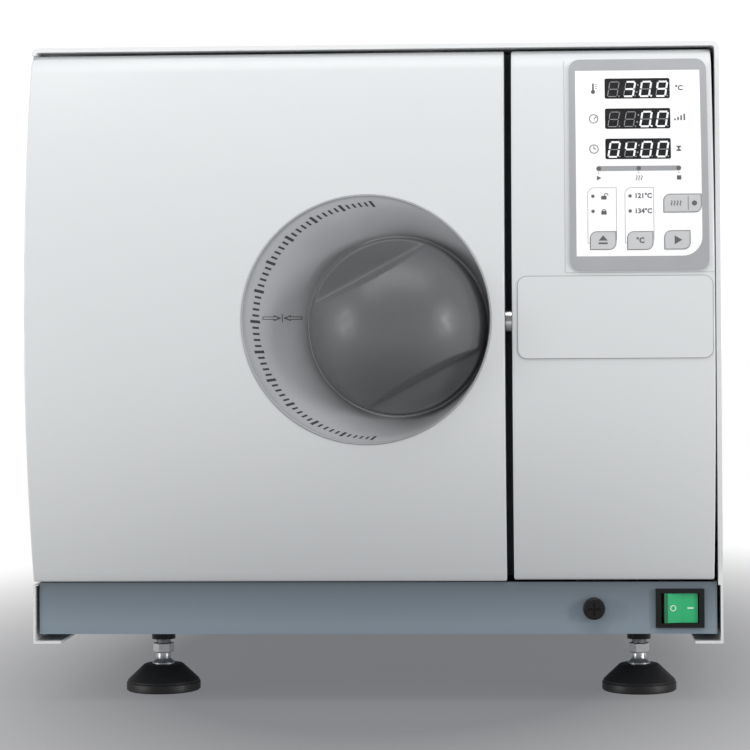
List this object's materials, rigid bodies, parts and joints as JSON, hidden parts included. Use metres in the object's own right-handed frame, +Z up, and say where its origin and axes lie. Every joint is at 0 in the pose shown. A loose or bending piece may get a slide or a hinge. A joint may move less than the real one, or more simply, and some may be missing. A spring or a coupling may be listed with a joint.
{
  "type": "benchtop autoclave",
  "caption": "Benchtop steam steriliser: bowed left-hinged door with a knob latch over a round chamber, keypad fascia beside it, base strip with switch, levelling feet.",
  "frame": {"origin": "on the bench under the middle of the machine's box", "axes": "+Z up, the door and controls face -Y, +X to the right seen from the front"},
  "size_m": [0.455, 0.572, 0.4352],
  "materials": {
    "casing_paint": "satin powder coat",
    "door_paint": "satin powder coat",
    "tray_paint": "satin blue-grey paint",
    "recess_plastic": "moulded",
    "knob_plastic": "fine moulded grain",
    "zinc_steel": "zinc plated",
    "stainless": "polished stainless",
    "bright_steel": "bright",
    "foot_rubber": "matt",
    "black_plastic": "moulded",
    "green_lens": "translucent",
    "seal_silicone": "silicone",
    "keypad_film": "printed film",
    "display_glass": "tinted window",
    "key_film": "embossed film",
    "insulation": "mineral felt",
    "board_green": "circuit board",
    "tank_plastic": "moulded",
    "pump_metal": "painted",
    "brass": "machined",
    "fin_metal": "mill"
  },
  "bodies": {
    "cabinet": {"casing": "casing_paint", "base_tray": "tray_paint", "casing_screws": "casing_paint", "rear_panel": "casing_paint", "front_bulkhead": "tray_paint", "chamber_vessel": "stainless", "chamber_flange": "stainless", "heater_band": "zinc_steel", "insulation_jacket": "insulation", "chamber_saddles": "zinc_steel", "tray_rack": "stainless", "trays": "stainless", "hinge_brackets": "zinc_steel", "hinge_pins": "bright_steel", "latch_keeper": "zinc_steel", "fascia_panel": "door_paint", "display_modules": "display_glass", "keypad_overlay": "keypad_film", "blank_plate": "door_paint", "control_board": "board_green", "switch_body": "black_plastic", "water_tank": "tank_plastic", "lid_hinge": "zinc_steel", "water_pump": "pump_metal", "solenoid_valves": "brass", "safety_valve": "brass", "fan_frame": "black_plastic", "condenser": "fin_metal", "mains_inlet": "black_plastic", "air_filter": "tank_plastic", "drain_fittings": "brass", "foot_bosses": "black_plastic"},
    "door": {"door_cover": "door_paint", "handle_recess": "recess_plastic", "door_inner_plate": "zinc_steel", "hinge_stile": "zinc_steel", "door_crossbar": "zinc_steel", "pressure_plate": "stainless", "door_seal": "seal_silicone", "latch_guide": "zinc_steel"},
    "latch_knob": {"knob": "knob_plastic", "knob_shaft": "bright_steel", "latch_pinion": "bright_steel"},
    "bolt": {"latch_bolt": "bright_steel"},
    "rocker": {"switch_rocker": "green_lens"},
    "cap": {"fuse_cap": "black_plastic"},
    "fan": {"fan_rotor": "black_plastic"},
    "lid": {"filler_lid": "tank_plastic"},
    "key_release": {"key_release": "key_film"},
    "key_temperature": {"key_temperature": "key_film"},
    "key_start": {"key_start": "key_film"},
    "key_dry": {"key_dry": "key_film"},
    "foot_front_left": {"foot_pad_front_left": "foot_rubber", "foot_stud_front_left": "bright_steel"},
    "foot_front_right": {"foot_pad_front_right": "foot_rubber", "foot_stud_front_right": "bright_steel"},
    "foot_rear_left": {"foot_pad_rear_left": "foot_rubber", "foot_stud_rear_left": "bright_steel"},
    "foot_rear_right": {"foot_pad_rear_right": "foot_rubber", "foot_stud_rear_right": "bright_steel"}
  },
  "joints": [
    {"name": "door_hinge", "type": "hinge", "parent": "cabinet", "child": "door", "pos_m": [-0.213, -0.216, 0.253], "axis": [0, 0, -1], "range_deg": [0, 105]},
    {"name": "knob_turn", "type": "hinge", "parent": "door", "child": "latch_knob", "pos_m": [0.0161, -0.23, 0.2456], "axis": [0, 1, 0], "range_deg": [0, 90]},
    {"name": "bolt_slide", "type": "slide", "parent": "door", "child": "bolt", "axis": [1, 0, 0], "range_m": [0, 0.019]},
    {"name": "rocker_tilt", "type": "hinge", "parent": "cabinet", "child": "rocker", "pos_m": [0.1972, -0.2225, 0.0622], "axis": [0, 0, -1], "range_deg": [0, 12]},
    {"name": "cap_turn", "type": "hinge", "parent": "cabinet", "child": "cap", "pos_m": [0.1416, -0.23, 0.0622], "axis": [0, -1, 0], "range_deg": [0, 60]},
    {"name": "fan_spin", "type": "hinge", "parent": "cabinet", "child": "fan", "pos_m": [0.156, 0.25, 0.15], "axis": [0, 1, 0], "continuous": true},
    {"name": "lid_hinge_turn", "type": "hinge", "parent": "cabinet", "child": "lid", "pos_m": [0.156, 0.178, 0.433], "axis": [-1, 0, 0], "range_deg": [0, 95]},
    {"name": "key_release_press", "type": "slide", "parent": "cabinet", "child": "key_release", "axis": [0, 1, 0], "range_m": [0, 0.0004], "stiffness_N_per_m": 800, "springref_m": -0.0002},
    {"name": "key_temperature_press", "type": "slide", "parent": "cabinet", "child": "key_temperature", "axis": [0, 1, 0], "range_m": [0, 0.0004], "stiffness_N_per_m": 800, "springref_m": -0.0002},
    {"name": "key_start_press", "type": "slide", "parent": "cabinet", "child": "key_start", "axis": [0, 1, 0], "range_m": [0, 0.0004], "stiffness_N_per_m": 800, "springref_m": -0.0002},
    {"name": "key_dry_press", "type": "slide", "parent": "cabinet", "child": "key_dry", "axis": [0, 1, 0], "range_m": [0, 0.0004], "stiffness_N_per_m": 800, "springref_m": -0.0002},
    {"name": "foot_front_left_height", "type": "slide", "parent": "cabinet", "child": "foot_front_left", "axis": [0, 0, -1], "range_m": [-0.001, 0.012]},
    {"name": "foot_front_right_height", "type": "slide", "parent": "cabinet", "child": "foot_front_right", "axis": [0, 0, -1], "range_m": [-0.001, 0.012]},
    {"name": "foot_rear_left_height", "type": "slide", "parent": "cabinet", "child": "foot_rear_left", "axis": [0, 0, -1], "range_m": [-0.001, 0.012]},
    {"name": "foot_rear_right_height", "type": "slide", "parent": "cabinet", "child": "foot_rear_right", "axis": [0, 0, -1], "range_m": [-0.001, 0.012]}
  ],
  "couplings": [
    {"joint": "bolt_slide", "follows": "knob_turn", "m_per_rad": 0.012}
  ]
}
